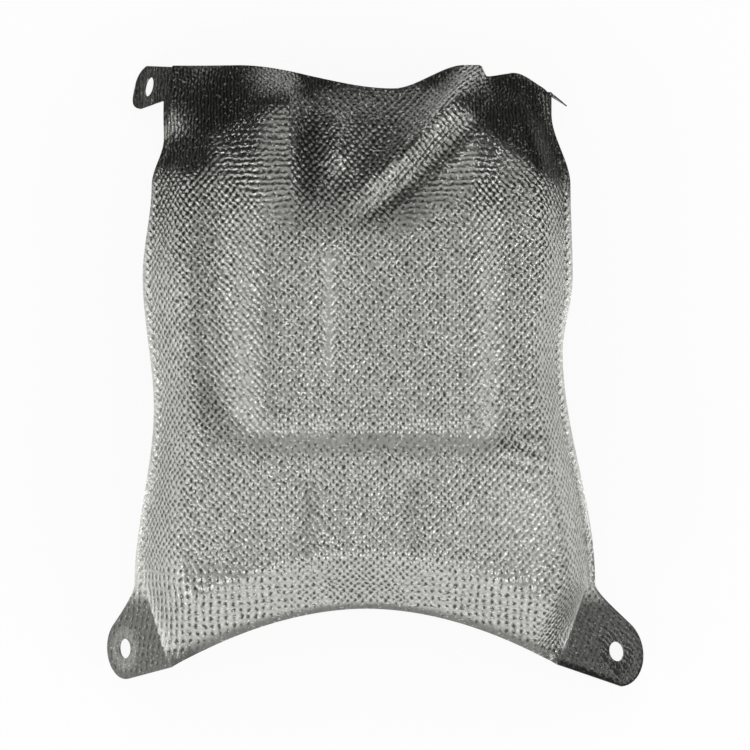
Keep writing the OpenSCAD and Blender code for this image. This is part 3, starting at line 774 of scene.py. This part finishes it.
def aluminium():
    # embossing cos(2 pi a / pa) cos(2 pi b / pb) over the sheet's own lengths a and b;
    # hollows darker as grime and painted shade, crests paler as wear and painted highlight, painted shade and
    # painted highlight from the sheet's marks, painted glints, soft blotches, wrinkles and a fine grain
    f = finish
    mat = bpy.data.materials.new("embossed_aluminium")
    mat.use_nodes = True
    nodes, links = mat.node_tree.nodes, mat.node_tree.links
    shader = nodes["Principled BSDF"]
    where = nodes.new("ShaderNodeTexCoord")

    def noise(scale, detail):
        # noise from 0 to 1, its spots about 1 / scale metres wide
        n = nodes.new("ShaderNodeTexNoise")
        n.inputs["Scale"].default_value = scale
        n.inputs["Detail"].default_value = detail
        links.new(where.outputs["Object"], n.inputs["Vector"])
        return n.outputs["Fac"]

    def attribute(name):
        # a mark that each point of the sheet carries
        n = nodes.new("ShaderNodeAttribute")
        n.attribute_name = name
        return n.outputs["Fac"]

    def sums(operation, *values):
        # one operation on numbers or outputs; MULTIPLY_ADD is a b + c
        n = nodes.new("ShaderNodeMath")
        n.operation = operation
        for socket, value in zip(n.inputs, values):
            if isinstance(value, (int, float)):
                socket.default_value = value
            else:
                links.new(value, socket)
        return n.outputs["Value"]

    wrinkle, grain = noise(f["wrinkleScale"], 2), noise(f["grainScale"], 1)
    blotch = noise(f["blotchScale"], 4)
    strays = [noise(scale, 1) for scale in f["strayScale"]]
    jitter = noise(f["jitterScale"], 1)
    split = nodes.new("ShaderNodeSeparateXYZ")
    links.new(where.outputs["Object"], split.inputs["Vector"])
    waves, lines = [], []
    for k, name in enumerate(("across", "along")):
        stray = sums("MULTIPLY_ADD", jitter, f["jitter"], sums("MULTIPLY", strays[k], f["stray"]))
        place = sums("ADD", stray, attribute(name))
        waves.append(sums("COSINE", sums("MULTIPLY", place, 2 * math.pi / f["pitch"][k])))
        place = sums("MULTIPLY_ADD", split.outputs[k], 1000.0, stray)
        lines.append(sums("COSINE", sums("MULTIPLY", place, 2 * math.pi / f["lines"][k])))
    drawn = attribute("drawn")
    plain = sums("SUBTRACT", 1.0, sums("ABSOLUTE", drawn))
    rows = sums("MULTIPLY_ADD", attribute("fan"), sums("SUBTRACT", 1.0, waves[1]), waves[1])
    bumps = sums("MULTIPLY", sums("MULTIPLY", waves[0], rows), sums("MULTIPLY_ADD", plain, *f["bumpOnLines"]))
    upright, across = (
        sums("MULTIPLY", line, sums("MAXIMUM", sums("MULTIPLY", drawn, sign * f["lineHeight"]), 0.0))
        for line, sign in zip(lines, (-1, 1)))
    bumps = sums("MULTIPLY", sums("ADD", sums("ADD", bumps, upright), across), attribute("stamp"))

    # height on the bump, shifted by the wrinkles, picks the tone: darker in the hollows as grime and painted
    # shade, paler on the crests as wear and painted highlight
    fit = nodes.new("ShaderNodeMapRange")
    fit.inputs["From Min"].default_value, fit.inputs["From Max"].default_value = f["toneRange"]
    ofWrinkle, ofBump = f["toneOf"]
    links.new(sums("MULTIPLY_ADD", wrinkle, ofWrinkle, sums("MULTIPLY", bumps, ofBump)), fit.inputs["Value"])
    ramp = nodes.new("ShaderNodeValToRGB")
    tones = ramp.color_ramp.elements
    tones[0].position, tones[1].position = f["hollow"][0], f["crest"][0]
    tones.new(f["metal"][0])
    for tone, name in zip(tones, ("hollow", "metal", "crest")):
        tone.color = (*f[name][1], 1)
    links.new(fit.outputs["Result"], ramp.inputs["Fac"])
    dulled = nodes.new("ShaderNodeMix")
    dulled.data_type, dulled.blend_type = "RGBA", "MULTIPLY"
    dulled.inputs["Factor"].default_value = f["blotch"]
    links.new(ramp.outputs["Color"], dulled.inputs["A"])
    links.new(blotch, dulled.inputs["B"])
    # painted shade: the dark tone laid on by the sheet's painted shade mark, with less of it along the
    # upright lines as painted lighter streaks
    shaded = nodes.new("ShaderNodeMix")
    shaded.data_type = "RGBA"
    shaded.inputs["B"].default_value = (*f["paintedShading"], 1)
    paintedShading = attribute("paintedShading")
    cover = sums("MULTIPLY_ADD", upright, -f["lineLessShade"], sums("MULTIPLY", paintedShading, f["shadingCover"]))
    links.new(sums("MAXIMUM", cover, 0.0), shaded.inputs["Factor"])
    links.new(dulled.outputs["Result"], shaded.inputs["A"])
    # painted glints: pale, less metallic specks, more where the painted highlight is and fewer under the
    # painted shade
    glint = nodes.new("ShaderNodeMapRange")
    glint.inputs["From Min"].default_value, glint.inputs["From Max"].default_value = f["glintShare"]
    # painted highlight where the painted shade mark is negative, which pales the tone
    highlighted = sums("MAXIMUM", sums("MULTIPLY", paintedShading, -1.0), 0.0)
    dots = noise(f["glintScale"], 0)
    links.new(sums("MULTIPLY_ADD", highlighted, f["glintOnHighlight"], dots), glint.inputs["Value"])
    glinted = nodes.new("ShaderNodeMix")
    glinted.data_type = "RGBA"
    glinted.inputs["B"].default_value = (*f["glint"], 1)
    glints = sums("MULTIPLY", glint.outputs["Result"], sums("MULTIPLY_ADD", paintedShading, -f["glintUnderShade"], 1.0))
    links.new(sums("MAXIMUM", glints, sums("MULTIPLY", highlighted, f["highlightPale"])), glinted.inputs["Factor"])
    links.new(shaded.outputs["Result"], glinted.inputs["A"])
    links.new(glinted.outputs["Result"], shader.inputs["Base Color"])
    links.new(sums("MULTIPLY_ADD", glints, -f["glintDull"], 1.0), shader.inputs["Metallic"])
    rough = nodes.new("ShaderNodeMapRange")
    rough.inputs["To Min"].default_value, rough.inputs["To Max"].default_value = f["roughness"]
    links.new(blotch, rough.inputs["Value"])
    links.new(rough.outputs["Result"], shader.inputs["Roughness"])

    layer = None
    for height, name in ((bumps, "relief"), (wrinkle, "wrinkle"), (grain, "grain")):
        bump = nodes.new("ShaderNodeBump")
        bump.inputs["Distance"].default_value = f[name]
        links.new(height, bump.inputs["Height"])
        if layer:
            links.new(layer.outputs["Normal"], bump.inputs["Normal"])
        layer = bump
    links.new(layer.outputs["Normal"], shader.inputs["Normal"])
    return mat


sheet = makeSheet()
sheet.data.materials.append(aluminium())
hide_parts("heat_shield")
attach(sheet, "root")
print("stage: sheet dressed")

# Stage: pale floor, camera straight above, even light, and dark cards that the metal mirrors
stage = {
    "floor": (0.97, 0.97, 0.97), "floorW": 12.0, "white": 0.9, "roughness": 0.9,
    "view": 2.4, "focus": 2.38, "frame": 0.3375, "sensor": 36.0,      # metres, and the sensor in mm
    "world": (1.25, 0.56), "worldFrom": (0.25, 0.85),     # towards the horizon and overhead
    "aim": (0, 0, 0.03),
    "boxes": [  # place, size, watts
        ((-0.8, -0.5, 0.8), (0.2, 0.2), 1.5),
        ((0.8, -0.4, 0.8), (0.2, 0.2), 1.5),
    ],
    "cardTone": 0.02, "matTone": 0.2,
    "cards": [  # two ends on the floor and the height
        ((-0.4, 0.2), (0.4, 0.2), 0.24),
        ((0.2, -0.18), (0.2, -0.07), 0.12),
        ((-0.18, 0.095), (-0.18, 0.2), 0.2), ((0.16, 0.095), (0.16, 0.2), 0.2),
    ],
    "mats": [((-0.2, 0.085), (-0.1, 0.2)), ((0.098, 0.078), (0.2, 0.2))],      # two corners of each
    "matZ": 0.001,
}


def pale():
    # lit floor that keeps the shadow, mixed with plain white where the camera or the metal sees it
    mat = bpy.data.materials.new("pale_floor")
    mat.use_nodes = True
    nodes, links = mat.node_tree.nodes, mat.node_tree.links
    shader = nodes["Principled BSDF"]
    way, white, both = (nodes.new("ShaderNode" + kind) for kind in ("LightPath", "Emission", "MixShader"))
    seen = None
    for ray in ("Is Camera Ray", "Is Glossy Ray", "Is Transmission Ray"):
        n = nodes.new("ShaderNodeMath")
        n.operation, n.inputs[0].default_value = "MAXIMUM", 0.0
        links.new(way.outputs[ray], n.inputs[1])
        if seen:
            links.new(seen, n.inputs[0])
        seen = n.outputs["Value"]
    part = nodes.new("ShaderNodeMath")
    part.operation = "MULTIPLY"
    part.inputs[1].default_value = stage["white"]
    links.new(seen, part.inputs[0])
    links.new(part.outputs["Value"], both.inputs["Fac"])
    links.new(shader.outputs["BSDF"], both.inputs[1])
    links.new(white.outputs["Emission"], both.inputs[2])
    links.new(both.outputs["Shader"], nodes["Material Output"].inputs["Surface"])
    shader.inputs["Base Color"].default_value = (*stage["floor"], 1)
    shader.inputs["Roughness"].default_value = stage["roughness"]
    shader.inputs["Specular IOR Level"].default_value = 0.0
    return mat


def makeFloor():
    # one wide square under the shield
    mesh = bpy.data.meshes.new("floor")
    w = stage["floorW"] / 2
    mesh.from_pydata([(-w, -w, 0), (w, -w, 0), (w, w, 0), (-w, w, 0)], [], [(0, 1, 2, 3)])
    mesh.materials.append(pale())
    floor = bpy.data.objects.new("floor", mesh)
    bpy.context.scene.collection.objects.link(floor)


def makeCards():
    # upright cards and flat mats that only the metal mirrors
    tones = []
    for name in ("cardTone", "matTone"):
        tone = bpy.data.materials.new(name)
        tone.use_nodes = True
        tone.node_tree.nodes["Principled BSDF"].inputs["Base Color"].default_value = (*[stage[name]] * 3, 1)
        tones.append(tone)
    outlines = [[(*a, 0), (*b, 0), (*b, h), (*a, h)] for a, b, h in stage["cards"]]
    lift = stage["matZ"]
    outlines += [[(*a, lift), (b[0], a[1], lift), (*b, lift), (a[0], b[1], lift)] for a, b in stage["mats"]]
    for k, outline in enumerate(outlines):
        mesh = bpy.data.meshes.new(f"card_{k}")
        mesh.from_pydata(outline, [], [(0, 1, 2, 3)])
        mesh.materials.append(tones[k >= len(stage["cards"])])
        card = bpy.data.objects.new(f"card_{k}", mesh)
        bpy.context.scene.collection.objects.link(card)
        card.visible_camera = card.visible_shadow = card.visible_diffuse = False


def makeLights():
    # two soft boxes aimed at the shield, and a world whose light falls from the horizon upwards
    for k, (place, size, power) in enumerate(stage["boxes"]):
        lamp = bpy.data.lights.new(f"softbox_{k}", "AREA")
        lamp.shape = "RECTANGLE"
        lamp.size, lamp.size_y = size
        lamp.energy = power
        obj = bpy.data.objects.new(f"softbox_{k}", lamp)
        obj.location = place
        aim = Vector(stage["aim"]) - Vector(place)
        obj.rotation_euler = aim.to_track_quat("-Z", "Y").to_euler()
        bpy.context.scene.collection.objects.link(obj)
    world = bpy.data.worlds.new("studio")
    world.use_nodes = True
    nodes, links = world.node_tree.nodes, world.node_tree.links
    way = nodes.new("ShaderNodeTexCoord")
    split = nodes.new("ShaderNodeSeparateXYZ")
    links.new(way.outputs["Generated"], split.inputs["Vector"])
    level = nodes.new("ShaderNodeMapRange")
    level.interpolation_type = "SMOOTHSTEP"
    level.inputs["From Min"].default_value, level.inputs["From Max"].default_value = stage["worldFrom"]
    level.inputs["To Min"].default_value, level.inputs["To Max"].default_value = stage["world"]
    links.new(split.outputs["Z"], level.inputs["Value"])
    links.new(level.outputs["Result"], nodes["Background"].inputs["Strength"])
    nodes["Background"].inputs["Color"].default_value = (1, 1, 1, 1)
    bpy.context.scene.world = world


def makeCamera():
    # lens = sensor x distance / width of the photo
    data = bpy.data.cameras.new("camera")
    data.sensor_width = stage["sensor"]
    data.lens = stage["sensor"] * stage["focus"] / stage["frame"]
    camera = bpy.data.objects.new("camera", data)
    camera.location = (0, 0, stage["view"])
    bpy.context.scene.collection.objects.link(camera)
    bpy.context.scene.camera = camera


makeFloor()
makeCards()
makeLights()
makeCamera()
bpy.context.scene.view_settings.view_transform = "Standard"
print("stage: floor, lights and camera set")
